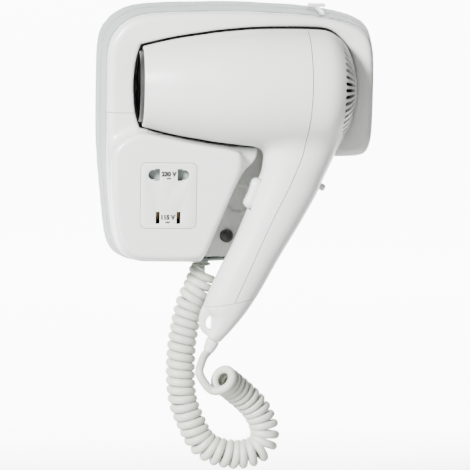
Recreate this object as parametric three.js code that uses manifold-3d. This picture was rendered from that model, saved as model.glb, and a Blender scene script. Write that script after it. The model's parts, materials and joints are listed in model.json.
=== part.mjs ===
// Wall-mounted hair dryer resting in its holder, with a shaver socket and a curly cord.
// Millimetres. The wall is the plane Y = 0 and the object stands out of it towards -Y; +Z is up.
// "f" is the distance from the wall, so Y = -f.
import * as THREE from 'three';
import { mergeVertices } from 'three/addons/utils/BufferGeometryUtils.js';
import Module from 'manifold-3d';

const wasm = await Module();
wasm.setup();

// ---------------------------------------------------------------- driving dimensions

const GAP = 0.3;                 // clearance between separate pieces
const WALL = 2.2;                // thickness of the moulded walls

const HOUSING_DEPTH = 38;        // grey rear housing, from the wall
const FRAME_FRONT = 45;          // front face of the white frame
const BOSS_FRONT = 58;           // front face of the raised socket cover
const TAPER = 0.94;              // housing outline at its front, relative to its back
const CENTRE = [2.6, -3];        // point the housing tapers towards, X and Z

const BARREL_Z = 28.6;           // axis of the barrel
const DRYER_F = 46;              // middle plane of the dryer
const POCKET_CLEARANCE = 1.5;    // around the dryer in its holder
const POCKET_FLOOR = 7.5;        // barrel pocket floor, distance from the wall
const CHANNEL_FLOOR = 22;        // handle channel floor

const HANDLE_TILT = THREE.MathUtils.degToRad(20.4);      // front edge of the handle
const SELECTOR_TILT = THREE.MathUtils.degToRad(25.8);    // rear edge of the handle
const GRILLE_X = [-56.5, -54.5];                         // grille inside the outlet ring
const CORD_TILT = THREE.MathUtils.degToRad(24);          // cord leaving the end cap
const TRIGGER_AT = [11.2, -36.3];
const SELECTOR_AT = [52.7, -31.6];

const COIL_RADIUS = 9.4;         // outside of the curly part of the cord
const CORD_RADIUS = 2.7;

const SLOT_COUNT = 45;           // air intake slots round the dome
const SLOT_OUTER = 30.5;
const SLOT_INNER = 17;

// Outlines are [X, Z].
const HOUSING_OUTLINE = [
  [-85.4, 51], [-85.4, -9], [-81.7, -46.6], [-78.9, -71], [-73.7, -79.9], [-65.3, -84.4], [-59, -85.7],
  [0, -85.8], [8, -81], [46, -21], [52, -16], [62, -15], [84, -14], [88.5, -10], [91, 0], [91, 48], [89, 62],
  [84, 69], [75, 73.5], [62, 76.5], [43, 79], [5, 80.4], [-20, 80], [-51.8, 78.7], [-65.6, 76.6], [-75.5, 71.4],
  [-82.9, 62.6],
];
const CHANNEL_LEFT = [
  [10.5, -2], [12.9, -8.5], [12.4, -14], [9.6, -18], [5.4, -21.8], [3.6, -24.6], [-0.5, -33.1], [-8.1, -51.7],
  [-15.2, -68.4], [-20, -79.8],
];
const COVER_OUTLINE = [
  [-79.4, 12], [-60, 12], [-54, 0], [0, -6], ...CHANNEL_LEFT.slice(1), [-58, -79.8], [-66, -78], [-71.6, -73],
  [-74.6, -64], [-77, -45], [-79.8, -10],
];
const BOSS_OUTLINE = [
  [-76.4, -40], [-73.7, -61.3], [-70, -70.6], [-61.9, -76.1], [-52.8, -77.3], [-26.4, -77.1], [-19.2, -75.4],
  [-16.1, -68.8], [-9, -51.7], [-1.4, -33.1], [3.3, -22], [3.7, -14.6], [0.4, -11], [-23.4, -7.4],
  [-41.7, -3.4], [-58.8, 0.8], [-66, -1.2], [-73.2, -5.7], [-76.8, -12.4],
];
const PANEL = { x: [-59, -25], z: [-57, -17] };

// Barrel profile, [X, radius].
const BARREL = [
  [-58, 24.4], [-47, 27.2], [-36, 29.6], [-22, 31.9], [-11, 33.6], [10, 35.7], [30, 36.3], [44, 36.3],
  [55, 35.4], [62.7, 30.8], [67.8, 24.2], [71.9, 12], [73.2, 0],
];
// Handle sections: left [X, Z], right [X, Z], half thickness across Y.
const HANDLE = [
  [[22, 6], [57, 10], 17], [[15.4, -12.5], [60.8, -12.5], 18.2], [[16.5, -21], [56.6, -21], 17.5],
  [[14, -28.2], [53.4, -29.5], 17], [[7, -48.2], [43.5, -50], 16], [[-1.3, -68.8], [31.5, -70.3], 15],
  [[-9.1, -84.5], [22.5, -87], 14.3], [[-18.6, -106.6], [15.6, -100.2], 13.5],
];
const END_CAP = [
  [[-18.7, -107], [15.5, -100.6], 13.4], [[-14.6, -113.6], [10.7, -107.1], 12.2],
  [[-13.4, -119.8], [4.7, -115.4], 10], [[-13, -124.6], [-1.5, -123], 7.4], [[-15.4, -126.6], [-7.8, -130.2], 4.6],
];
const EYE_TAB = [
  [-18.9, -107.6], [-21, -112.9], [-21.2, -119.2], [-19, -123.6], [-15.2, -126.2], [-11, -124], [-11, -108.6],
];
const EYE_HOLE = [[-13.4, -112.8], [-13.3, -122.2], [-16.2, -120.6], [-16.9, -117.2], [-15.8, -114]];
const CORD_LEAVES = [-11.8, -128.6];   // where the cord leaves the end cap, X and Z
// Seam between the two dryer shells, [X, Z].
const SEAM = [
  [41.6, 80], [41.6, 8], [39, 1], [36, -12], [32, -30], [23, -47.7], [15.4, -65], [8.3, -81.7], [0.1, -100.4],
  [-3, -112],
];
// Middle of the curly cord, [X, f, Z], from the holder to the dryer.
const COIL_PATH = [
  [-17.1, 29.5, -87.4], [-20.3, 29.5, -97], [-25.3, 30, -108.2], [-28.9, 31.5, -124.1], [-30.6, 33, -136.9],
  [-31.1, 34.5, -152.8], [-29.5, 36, -168.7], [-24.7, 37, -181.5], [-18.2, 38, -194.2], [-10.6, 39, -200.1],
  [-2.4, 40, -202.5], [7.1, 40, -203.2], [15.3, 41, -201], [20.9, 41, -196.5], [22.3, 41, -187.4],
  [18.5, 41, -177.1], [12.5, 42.5, -169], [4.3, 46.5, -161.1], [-2.7, 52.5, -154.6], [-8, 59, -149.9],
];
const TAIL_PATH = [[-15.5, 46, -137], [-16.4, 48, -140], [-17.6, 52, -144], [-17.9, 56.5, -147.4]];
const CORD_EXIT = [-17.3, 12];   // X and f of the cord's hole in the bottom wall
const LEAD_PATH = [[-17.3, 12, -70], [-17.3, 12, -80], [-17.3, 12.2, -87.5], [-17.6, 14.6, -91]];

const COVER_SCREWS = [[-67, -66], [-72, 4]];
const SHELL_SCREW = [-70, 34];
const PLUNGER_AT = [-2.5, -66.5];
const PINS_HIGH = [-51.5, -32.5];   // round pins, X
const PINS_LOW = [-48.4, -35.7];    // flat pins, X
const PIN_Z = -24.3;
const TERMINALS = [-37.5, -33, -28.5];     // X of the terminal block's screws
const TERMINAL_Z = -68.5;
const SCREW_Z = -84;             // screw across the handle
const WALL_SCREWS = [[-70, 62], [-52, -72], [80, 50], [76, -6]];

// ---------------------------------------------------------------- materials

const MATERIALS = {
  white_plastic: [0xe9ebe6, 0.35, 0],
  grey_plastic: [0xb4bab4, 0.5, 0],
  black_plastic: [0x1c1c1e, 0.45, 0],
  cord_rubber: [0xd3d6ca, 0.6, 0],
  steel: [0xb9bcc0, 0.3, 1],
  brass: [0xc9a559, 0.3, 1],
  copper: [0xb87333, 0.35, 1],
  mica: [0xc8b48c, 0.6, 0],
  board: [0x2f5d3a, 0.5, 0],
  dark_core: [0x4a4b4e, 0.5, 1],
};
for (const [name, [color, roughness, metalness]] of Object.entries(MATERIALS)) {
  MATERIALS[name] = new THREE.MeshStandardMaterial({ name, color, roughness, metalness });
}

// ---------------------------------------------------------------- geometry helpers

// A closed geometry as a solid, turned outside out if it came inside out.
function solid(geometry) {
  geometry.deleteAttribute('normal');
  geometry.deleteAttribute('uv');
  const merged = mergeVertices(geometry, 1e-4);
  const vertProperties = new Float32Array(merged.attributes.position.array);
  const triVerts = new Uint32Array(merged.index.array);
  const made = new wasm.Manifold(new wasm.Mesh({ numProp: 3, vertProperties, triVerts }));
  if (made.volume() > 0) return made;
  for (let i = 0; i < triVerts.length; i += 3) {
    [triVerts[i + 1], triVerts[i + 2]] = [triVerts[i + 2], triVerts[i + 1]];
  }
  return new wasm.Manifold(new wasm.Mesh({ numProp: 3, vertProperties, triVerts }));
}

function union(...parts) {
  return parts.reduce((sum, part) => sum.add(part));
}

function cut(body, ...tools) {
  return tools.reduce((left, tool) => left.subtract(tool), body);
}

function outlineShape(outline) {
  return new THREE.Shape(outline.map(([x, z]) => new THREE.Vector2(x, z)));
}

// Outline [X, Z] swept from f0 to f1.
function slab(outline, f0, f1) {
  const geometry = new THREE.ExtrudeGeometry(outlineShape(outline), { depth: f1 - f0, bevelEnabled: false });
  geometry.rotateX(Math.PI / 2);
  geometry.translate(0, -f0, 0);
  return solid(geometry);
}

function boxGeometry([x0, x1], [z0, z1], [f0, f1]) {
  const geometry = new THREE.BoxGeometry(x1 - x0, f1 - f0, z1 - z0);
  return geometry.translate((x0 + x1) / 2, -(f0 + f1) / 2, (z0 + z1) / 2);
}

function box(x, z, f) {
  return solid(boxGeometry(x, z, f));
}

// Cylinder standing out from the wall.
function pegY(x, z, radius, [f0, f1], sides = 20) {
  const geometry = new THREE.CylinderGeometry(radius, radius, f1 - f0, sides);
  return solid(geometry.translate(x, -(f0 + f1) / 2, z));
}

// Cylinder standing up, [X, f] at its middle.
function pegZ([x, f], radius, [z0, z1], sides = 20) {
  const geometry = new THREE.CylinderGeometry(radius, radius, z1 - z0, sides).rotateX(Math.PI / 2);
  return solid(geometry.translate(x, -f, (z0 + z1) / 2));
}

// Cylinder along the barrel axis.
function pegX([x0, x1], radius, sides = 24) {
  const geometry = new THREE.CylinderGeometry(radius, radius, x1 - x0, sides).rotateZ(Math.PI / 2);
  return solid(geometry.translate((x0 + x1) / 2, -DRYER_F, BARREL_Z));
}

function ringX(x, outer, inner, sides = 24) {
  return pegX(x, outer, sides).subtract(pegX([x[0] - 1, x[1] + 1], inner, sides));
}

// Box in the barrel's own directions, turned by an angle about its axis.
function finX([x0, x1], [r0, r1], thickness, angle) {
  const geometry = new THREE.BoxGeometry(x1 - x0, thickness, r1 - r0);
  geometry.translate((x0 + x1) / 2, 0, (r0 + r1) / 2).rotateX(angle);
  return solid(geometry.translate(0, -DRYER_F, BARREL_Z));
}

// Solid of revolution about the barrel axis, from [X, radius] points.
function turned(profile, sides = 36) {
  const points = profile.map(([x, r]) => new THREE.Vector2(r, x));
  const first = points[0];
  const last = points[points.length - 1];
  if (first.x > 0) points.unshift(new THREE.Vector2(0, first.y));
  if (last.x > 0) points.push(new THREE.Vector2(0, last.y));
  const geometry = new THREE.LatheGeometry(points, sides).rotateZ(-Math.PI / 2);
  return solid(geometry.translate(0, -DRYER_F, BARREL_Z));
}

// Solid through closed rings of points, the same number in each.
function through(rings) {
  const count = rings[0].length;
  const positions = [];
  const centres = [rings[0], rings[rings.length - 1]].map((ring) => ring
    .reduce((sum, p) => sum.add(p), new THREE.Vector3()).divideScalar(count));
  const triangle = (...points) => points.forEach((p) => positions.push(p.x, p.y, p.z));
  for (let i = 0; i < count; i += 1) {
    const j = (i + 1) % count;
    triangle(centres[0], rings[0][j], rings[0][i]);
    triangle(centres[1], rings[rings.length - 1][i], rings[rings.length - 1][j]);
    for (let k = 0; k + 1 < rings.length; k += 1) {
      triangle(rings[k][i], rings[k][j], rings[k + 1][j]);
      triangle(rings[k][i], rings[k + 1][j], rings[k + 1][i]);
    }
  }
  const geometry = new THREE.BufferGeometry();
  geometry.setAttribute('position', new THREE.Float32BufferAttribute(positions, 3));
  return solid(geometry);
}

// Loft through handle sections, made smaller all round by inset.
function handleLoft(sections, inset = 0, sides = 24) {
  return through(sections.map(([left, right, half]) => {
    const a = new THREE.Vector3(left[0], 0, left[1]);
    const b = new THREE.Vector3(right[0], 0, right[1]);
    const along = b.clone().sub(a).normalize();
    const middle = a.clone().add(b).multiplyScalar(0.5);
    const radius = a.distanceTo(b) / 2 - inset;
    return Array.from({ length: sides }, (_, i) => {
      const angle = 2 * Math.PI * i / sides;
      const c = Math.cos(angle);
      const s = Math.sin(angle);
      const power = 2 / 2.4;
      const across = radius * Math.sign(c) * Math.abs(c) ** power;
      const deep = (half - inset) * Math.sign(s) * Math.abs(s) ** power;
      return middle.clone().addScaledVector(along, across).setY(deep - DRYER_F);
    });
  }));
}

// Prism with different outlines at its two flat ends.
function taper(back, f0, front, f1) {
  const place = (outline, f) => outline.map(([x, z]) => new THREE.Vector3(x, -f, z));
  const rings = [place(back, f0), place(front, f1)];
  const flat = back.map(([x, z]) => new THREE.Vector2(x, z));
  const positions = [];
  const triangle = (...points) => points.forEach((p) => positions.push(p.x, p.y, p.z));
  for (const [a, b, c] of THREE.ShapeUtils.triangulateShape(flat, [])) {
    triangle(rings[0][a], rings[0][c], rings[0][b]);
    triangle(rings[1][a], rings[1][b], rings[1][c]);
  }
  back.forEach((_, i) => {
    const j = (i + 1) % back.length;
    triangle(rings[0][i], rings[0][j], rings[1][j]);
    triangle(rings[0][i], rings[1][j], rings[1][i]);
  });
  const geometry = new THREE.BufferGeometry();
  geometry.setAttribute('position', new THREE.Float32BufferAttribute(positions, 3));
  return solid(geometry);
}

// Round tube through [X, f, Z] points.
function tube(path, radius, steps, sides = 10) {
  const curve = new THREE.CatmullRomCurve3(path.map(([x, f, z]) => new THREE.Vector3(x, -f, z)));
  const circle = new THREE.Shape(Array.from({ length: sides }, (_, i) => new THREE.Vector2(
    radius * Math.cos(2 * Math.PI * i / sides),
    radius * Math.sin(2 * Math.PI * i / sides),
  )));
  return solid(new THREE.ExtrudeGeometry(circle, { steps, extrudePath: curve, bevelEnabled: false }));
}

// Geometry made with its outward side at -X and its top at +Z, placed on the tilted handle.
function onHandle(geometry, [x, z], f = DRYER_F) {
  return solid(geometry.rotateY(HANDLE_TILT).translate(x, -f, z));
}

function localBox([x0, x1], [z0, z1], halfWidth) {
  const geometry = new THREE.BoxGeometry(x1 - x0, 2 * halfWidth, z1 - z0);
  return geometry.translate((x0 + x1) / 2, 0, (z0 + z1) / 2);
}

const group = new THREE.Group();
group.name = 'wall_hair_dryer';

// Adds a solid to the model as one named mesh.
function add(name, material, body) {
  const { vertProperties, triVerts } = body.getMesh();
  const geometry = new THREE.BufferGeometry();
  geometry.setAttribute('position', new THREE.BufferAttribute(new Float32Array(vertProperties), 3));
  geometry.setIndex(new THREE.BufferAttribute(new Uint32Array(triVerts), 1));
  geometry.computeVertexNormals();
  const mesh = new THREE.Mesh(geometry, MATERIALS[material]);
  mesh.name = name;
  group.add(mesh);
}

// ---------------------------------------------------------------- derived outlines

// Closed outline moved outwards by a distance (inwards if negative).
function grow(outline, distance) {
  const turn = Math.sign(THREE.ShapeUtils.area(outline.map(([x, z]) => new THREE.Vector2(x, z))));
  return outline.map((point, i) => {
    const before = outline[(i + outline.length - 1) % outline.length];
    const after = outline[(i + 1) % outline.length];
    const normals = [[before, point], [point, after]].map(([a, b]) => {
      const length = Math.hypot(b[0] - a[0], b[1] - a[1]);
      return [turn * (b[1] - a[1]) / length, -turn * (b[0] - a[0]) / length];
    });
    const sum = [normals[0][0] + normals[1][0], normals[0][1] + normals[1][1]];
    const reach = 2 * distance / Math.max(sum[0] ** 2 + sum[1] ** 2, 1);
    return [point[0] + sum[0] * reach, point[1] + sum[1] * reach];
  });
}

const barrelTop = BARREL.slice(0, -1).map(([x, r]) => [x, BARREL_Z + r]);
const barrelBottom = barrelTop.map(([x, z]) => [x, 2 * BARREL_Z - z]).reverse();
const POCKET = grow([[-60.5, BARREL_Z - 19], [-60.5, BARREL_Z + 19], ...barrelTop, [73.2, BARREL_Z],
  ...barrelBottom], POCKET_CLEARANCE);
const handleRight = HANDLE.slice(1, -1).map(([, [x, z]]) => [x + POCKET_CLEARANCE, z]);
const CHANNEL = [...CHANNEL_LEFT, [-26, -94], [21, -94], ...handleRight.reverse(), [62.3, 0]];

const BASE_FRONT = FRAME_FRONT - WALL;      // inside of the front walls
const SEAT = HOUSING_DEPTH + GAP;           // where the white parts meet the grey housing

function taperedOutline(f, inset = 0) {
  const scale = 1 + (TAPER - 1) * f / HOUSING_DEPTH;
  return grow(HOUSING_OUTLINE.map(([x, z]) => (
    [CENTRE[0] + (x - CENTRE[0]) * scale, CENTRE[1] + (z - CENTRE[1]) * scale])), -inset);
}

// ---------------------------------------------------------------- holder

const pocketOuter = slab(grow(POCKET, WALL), POCKET_FLOOR - WALL, FRAME_FRONT);
const channelOuter = slab(grow(CHANNEL, WALL), CHANNEL_FLOOR - WALL, FRAME_FRONT);
const coverRoom = slab(grow(COVER_OUTLINE, GAP), HOUSING_DEPTH - GAP, BOSS_FRONT + 5);

const housingOuter = taper(taperedOutline(0), 0, taperedOutline(HOUSING_DEPTH), HOUSING_DEPTH);
const housingInner = taper(taperedOutline(WALL, WALL), WALL, taperedOutline(HOUSING_DEPTH + 1, WALL),
  HOUSING_DEPTH + 1);

function topAt(f) {   // height of the housing's top above the latch
  return 77.7 - 0.1274 * f;
}

// Plate lying on the housing's sloping top.
function onTop(x, [f0, f1], [low, high]) {
  const geometry = new THREE.BoxGeometry(x[1] - x[0], f1 - f0, high - low).rotateX(Math.atan(0.1274));
  const middle = (f0 + f1) / 2;
  return solid(geometry.translate((x[0] + x[1]) / 2, -middle, topAt(middle) + (low + high) / 2));
}

function rearHousing() {
  const posts = [...COVER_SCREWS, SHELL_SCREW].map(([x, z]) => pegY(x, z, 3.8, [WALL - 0.4, 26]));
  const screwHoles = [...COVER_SCREWS, SHELL_SCREW].map(([x, z]) => union(
    pegY(x, z, 1.7, [-1, 27], 12), pegY(x, z, 3.3, [-1, 1.9], 16)));
  const body = union(housingOuter.subtract(housingInner), ...posts);
  return cut(body, slab(grow(CHANNEL, WALL + 0.6), CHANNEL_FLOOR - WALL - 0.6, 60), pegZ(CORD_EXIT, 5, [-95, -74]),
    box([51.2, 54.9], [70, 85], [20, 29]), ...screwHoles,
    ...WALL_SCREWS.map(([x, z]) => pegY(x, z, 2.4, [-1, WALL + 1], 16)));
}

function mountingPlate() {
  const thick = [2.6, 4.2];
  const strips = union(box([-74, 72], [44, 65], thick), box([-60, -44], [-76, 60], thick),
    box([66, 82], [-11, 56], thick));
  return cut(strips, ...WALL_SCREWS.map(([x, z]) => pegY(x, z, 2.4, [0, 6], 16)));
}

function screwAlongY([x, z], headRadius, head, shankRadius, shank) {
  return union(pegY(x, z, headRadius, head, 14), pegY(x, z, shankRadius, shank, 10));
}

function lug([x, z], top) {
  return pegY(x, z, 3.8, [26.4, top]).subtract(pegY(x, z, 1.7, [26, 36], 12));
}

function holderShell() {
  const front = slab(taperedOutline(HOUSING_DEPTH, 0.4), SEAT, FRAME_FRONT);
  const hollow = slab(taperedOutline(HOUSING_DEPTH, 0.4 + WALL), SEAT - 1, BASE_FRONT);
  const bottom = box([-200, 200], [-200, -79.6], [-5, 90]);
  const body = union(front.subtract(hollow), pocketOuter, channelOuter, lug(SHELL_SCREW, FRAME_FRONT - 1));
  return cut(body, slab(POCKET, POCKET_FLOOR, 60), slab(CHANNEL, CHANNEL_FLOOR, 60), coverRoom, bottom,
    pegY(...PLUNGER_AT, 4.3, [10, 30]), box([48, 60], [-43, -26], [43, 60]));
}

function socketCover() {
  const base = slab(COVER_OUTLINE, SEAT, FRAME_FRONT).intersect(slab(taperedOutline(HOUSING_DEPTH, 0.4), 0, 90));
  const baseHollow = slab(grow(COVER_OUTLINE, -WALL - 0.3), SEAT - 1, BASE_FRONT);
  const boss = slab(BOSS_OUTLINE, SEAT, BOSS_FRONT);
  const bossHollow = slab(grow(BOSS_OUTLINE, -WALL), SEAT - 1, BOSS_FRONT - WALL);
  const lugs = [lug(COVER_SCREWS[0], BOSS_FRONT - 1), lug(COVER_SCREWS[1], BASE_FRONT + 1)];
  const body = union(cut(union(base, boss), baseHollow, bossHollow), ...lugs);
  return cut(body, slab(grow(POCKET, WALL + GAP), 0, 60), panelBlock(GAP, [50, 65]));
}

function panelBlock(margin, f) {
  return box([PANEL.x[0] - margin, PANEL.x[1] + margin], [PANEL.z[0] - margin, PANEL.z[1] + margin], f);
}

// Opening for a round pin: a round hole widened towards the middle and cut off straight.
function roundPinOpening(x, f) {
  const inward = Math.sign((PANEL.x[0] + PANEL.x[1]) / 2 - x);
  const wide = pegY(x + 2.3 * inward, PIN_Z, 3.7, f, 16)
    .intersect(box([x - 5, x + 5].map((v) => v - 0.7 * inward), [PIN_Z - 5, PIN_Z + 5], f));
  return pegY(x + 0.2 * inward, PIN_Z, 2.8, f, 16).add(wide);
}

function socketPanel() {
  const plate = union(panelBlock(0, [54.6, BOSS_FRONT]), panelBlock(1.4, [53.5, 55.4]));
  const flat = PINS_LOW.map((x) => box([x - 1.25, x + 1.25], [-54.4, -46.4], [50, 60]));
  return cut(plate, ...PINS_HIGH.map((x) => roundPinOpening(x, [50, 60])), ...flat);
}

function pinShutter() {
  const holes = PINS_HIGH.map((x) => pegY(x, PIN_Z + 7, 3.3, [48, 56], 16));
  return cut(box([-56.5, -27.5], [-29.5, -11.5], [50.9, 52.7]), ...holes);
}

function contact(x, halfWidth, z, front) {
  const leaves = box([x - halfWidth, x + halfWidth], z, [41, front]);
  return leaves.subtract(box([x - halfWidth + 0.9, x + halfWidth - 0.9], [z[0] - 1, z[1] + 1], [43, front + 1]));
}

function transformerCore() {
  const windows = [[-54.8, -48], [-36, -29.2]].map((x) => box(x, [-54, -32], [0, 40]));
  return cut(box([-62, -22], [-60, -26], [10, 30]), ...windows);
}

function transformerWinding() {
  return box([-54.4, -29.6], [-53.6, -32.4], [6, 36]).subtract(box([-48.3, -35.7], [-60, -26], [9.6, 30.4]));
}

function transformerBracket() {
  const base = box([-66, -18], [-52, -34], [4.6, 5.6]).subtract(box([-56, -28], [-53, -33], [4, 6]));
  const strips = box([-66, -18], [-58, -52], [4.6, 5.6]);
  return union(base, strips, box([-64.4, -62.5], [-56, -34], [5.4, 22]), box([-21.5, -19.6], [-56, -34], [5.4, 19]));
}

function terminalBlock() {
  const holes = TERMINALS.map((x) => pegY(x, TERMINAL_Z, 1.8, [9, 17], 12));
  return cut(box([-41, -25], [-73.5, -63.5], [4.7, 15]), ...holes);
}

function releaseLatch() {
  return union(
    onTop([47.8, 58.6], [4, 9], [1.2, 2.8]),
    onTop([51.9, 54.2], [8.5, 36], [0.4, 1.8]),
    box([52.2, 53.9], [70.5, topAt(26) + 1.2], [24.5, 28]),
  );
}

function plunger() {
  return union(pegY(...PLUNGER_AT, 3.9, [16, 28.5]), pegY(...PLUNGER_AT, 5.3, [16, 17.6]));
}

function cordGrommet() {
  const outside = union(pegZ(CORD_EXIT, 4.7, [-86.6, -78]), pegZ(CORD_EXIT, 6.2, [-80.6, -78]),
    pegZ(CORD_EXIT, 6.2, [-86.6, -85.4]));
  return outside.subtract(pegZ(CORD_EXIT, 3, [-90, -70], 12));
}

add('rear_housing', 'grey_plastic', rearHousing());
add('mounting_plate', 'steel', mountingPlate());
WALL_SCREWS.forEach((at, i) => add(`wall_screw_${i + 1}`, 'steel', screwAlongY(at, 4, [4.5, 6.5], 2, [0.3, 5])));
add('holder_shell', 'white_plastic', holderShell());
add('socket_cover', 'white_plastic', socketCover());
COVER_SCREWS.forEach((at, i) => add(`cover_screw_${i + 1}`, 'steel', screwAlongY(at, 3, [0.4, 1.6], 1.4, [1.4, 34])));
add('shell_screw', 'steel', screwAlongY(SHELL_SCREW, 3, [0.4, 1.6], 1.4, [1.4, 34]));
add('socket_panel', 'white_plastic', socketPanel());
add('pin_shutter', 'grey_plastic', pinShutter());
add('socket_base', 'black_plastic', box([-57, -27], [-56, -18.5], [37.6, 40.6]));
PINS_HIGH.forEach((x, i) => add(`contact_high_${i + 1}`, 'brass', contact(x, 3, [-27.3, -21.3], 49.6)));
PINS_LOW.forEach((x, i) => add(`contact_low_${i + 1}`, 'brass', contact(x, 2.2, [-53.4, -47.4], 52.6)));
add('transformer_core', 'dark_core', transformerCore());
add('transformer_winding', 'copper', transformerWinding());
add('transformer_bracket', 'steel', transformerBracket());
add('terminal_block', 'black_plastic', terminalBlock());
TERMINALS.forEach((x, i) => add(`terminal_screw_${i + 1}`, 'brass', pegY(x, TERMINAL_Z, 1.4, [9.4, 14.4], 10)));
add('release_latch', 'white_plastic', releaseLatch());
add('plunger', 'black_plastic', plunger());
add('plunger_switch', 'black_plastic', box([-8, 4], [-71, -62], [5, 12.8]));
add('cord_grommet', 'cord_rubber', cordGrommet());
[[-4, 12], [26, 42]].forEach((x, i) => add(`rest_pad_${i + 1}`, 'black_plastic', box(x, [24, 33], [7.6, 9.2])));

// ---------------------------------------------------------------- dryer: shells

const barrelInner = turned([
  [-59, 22.2], [-47, 25], [-36, 27.4], [-22, 29.7], [-11, 31.4], [10, 33.5], [30, 34.1], [44, 34.1], [54, 33.3],
  [61, 29.2], [65.7, 22.8], [69.4, 11], [70.8, 0],
], 30);
const handleHollow = handleLoft([...HANDLE, [[-22, -114], [12, -107.6], 13]], WALL, 20);
const bothShells = cut(union(turned(BARREL), handleLoft(HANDLE)), barrelInner, handleHollow);

// Cylinder lying along X at a height on the handle.
function pegAcross(z, radius, [x0, x1], sides = 16) {
  const geometry = new THREE.CylinderGeometry(radius, radius, x1 - x0, sides).rotateZ(Math.PI / 2);
  return solid(geometry.translate((x0 + x1) / 2, -DRYER_F, z));
}

function intakeSlot(angle) {
  const wide = Math.PI * SLOT_OUTER / SLOT_COUNT * 0.92;
  const narrow = Math.PI * SLOT_INNER / SLOT_COUNT * 0.92;
  const shape = new THREE.Shape([[-narrow, SLOT_INNER], [narrow, SLOT_INNER], [wide, SLOT_OUTER], [-wide, SLOT_OUTER]]
    .map(([y, z]) => new THREE.Vector2(y / 2 * 1.1, z)));
  const geometry = new THREE.ExtrudeGeometry(shape, { depth: 23, bevelEnabled: false });
  const axes = new THREE.Matrix4().makeBasis(
    new THREE.Vector3(0, 1, 0), new THREE.Vector3(0, 0, 1), new THREE.Vector3(1, 0, 0));
  geometry.applyMatrix4(axes).translate(57, 0, 0).rotateX(angle);
  return solid(geometry.translate(0, -DRYER_F, BARREL_Z));
}

const screwRoom = union(pegAcross(SCREW_Z, 1.7, [-4, 30], 12), pegAcross(SCREW_Z, 3.2, [19, 40]));

function onSelector(geometry) {
  return solid(geometry.rotateY(SELECTOR_TILT).translate(SELECTOR_AT[0], -DRYER_F, SELECTOR_AT[1]));
}

function frontShell() {
  const region = slab([...SEAM, [-130, -112], [-130, 80]], 0, 95);
  const boss = pegAcross(SCREW_Z, 3.8, [-7.5, 6.6]);
  const opening = onHandle(localBox([-8, 7], [-10, 10], 7.3), TRIGGER_AT);
  return cut(union(bothShells.intersect(region), boss), opening, screwRoom);
}

function rearShell() {
  const seam = SEAM.map(([x, z]) => [x + GAP, z]);
  const region = slab([...seam, [130, -112], [130, 80]], 0, 95);
  const boss = pegAcross(SCREW_Z, 4.4, [8.2, 23]);
  const opening = onSelector(localBox([-8, 6], [-8.4, 2.5], 2.7));
  const slots = Array.from({ length: SLOT_COUNT }, (_, i) => intakeSlot(2 * Math.PI * i / SLOT_COUNT));
  return cut(union(bothShells.intersect(region), boss), opening, screwRoom, ...slots);
}

function endCap() {
  const hollow = handleLoft([[[-16, -102], [17, -96], 13.4], ...END_CAP.slice(0, 4)], WALL, 20);
  const tab = slab(EYE_TAB, DRYER_F - 3.5, DRYER_F + 3.5);
  const neck = alongCord([[-16, 4.4], [-6.5, 4.4], [-6.4, 3.3], [6, 3.3]], 16);
  return cut(union(handleLoft(END_CAP), tab), slab(EYE_HOLE, 0, 90), hollow, neck);
}

// Solid of revolution about the line the cord leaves along, from [distance, radius] points.
function alongCord(profile, sides = 20) {
  const points = profile.map(([s, r]) => new THREE.Vector2(r, -s));
  points.unshift(new THREE.Vector2(0, points[0].y));
  points.push(new THREE.Vector2(0, points[points.length - 1].y));
  const geometry = new THREE.LatheGeometry(points, sides).rotateX(Math.PI / 2).rotateY(CORD_TILT);
  return solid(geometry.translate(CORD_LEAVES[0], -DRYER_F, CORD_LEAVES[1]));
}

function strainRelief() {
  return alongCord([[-10, 2.9], [-8.6, 2.9], [-8.5, 4], [-7, 4], [-6.9, 2.9], [0.6, 2.9], [0.7, 4.2], [7.8, 3.5]]);
}

add('front_shell', 'white_plastic', frontShell());
add('rear_shell', 'white_plastic', rearShell());
add('end_cap', 'white_plastic', endCap());
add('strain_relief', 'white_plastic', strainRelief());
add('handle_screw', 'steel', union(pegAcross(SCREW_Z, 1.4, [-3, 19.6], 10), pegAcross(SCREW_Z, 2.9, [19.4, 21.2])));
add('cord_clamp', 'black_plastic', box([-8, 4], [-112, -107], [42, 50]));

// ---------------------------------------------------------------- dryer: controls

const trigger = union(onHandle(localBox([-4.5, 6], [-9.7, 9.7], 7), TRIGGER_AT),
  onHandle(localBox([5, 6.5], [-11.5, 11.5], 8.2), TRIGGER_AT));
const selector = union(onSelector(localBox([-5, 3.3], [-2.1, 2.1], 2.3)),
  onSelector(localBox([-5.8, -4.4], [-8.5, 8.5], 4.6)));
add('trigger', 'white_plastic', trigger);
add('trigger_switch', 'black_plastic', onHandle(localBox([10.5, 18.5], [-8, 8], 5.5), TRIGGER_AT));
add('selector_knob', 'white_plastic', selector);
add('selector_switch', 'black_plastic', onSelector(localBox([-14, -7], [-10, 8], 4.5)));
add('rectifier_board', 'board', onHandle(localBox([13, 14.6], [-36, -14], 9), TRIGGER_AT));

// ---------------------------------------------------------------- dryer: air and heat

function outletGrille() {
  const spokes = [0, 1, 2, 3].map((i) => finX(GRILLE_X, [-19, 19], 1.2, i * Math.PI / 4));
  return union(ringX(GRILLE_X, 19.9, 18.4), ringX(GRILLE_X, 13.6, 12.4), ringX(GRILLE_X, 7, 5.8), ...spokes);
}

function heaterCoil() {
  const turns = 7;
  const path = Array.from({ length: turns * 12 + 1 }, (_, i) => {
    const angle = 2 * Math.PI * i / 12;
    return [-42 + 50 * i / (turns * 12), DRYER_F + 18.1 * Math.cos(angle), BARREL_Z + 18.1 * Math.sin(angle)];
  });
  return tube(path, 0.5, turns * 12, 4);
}

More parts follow.
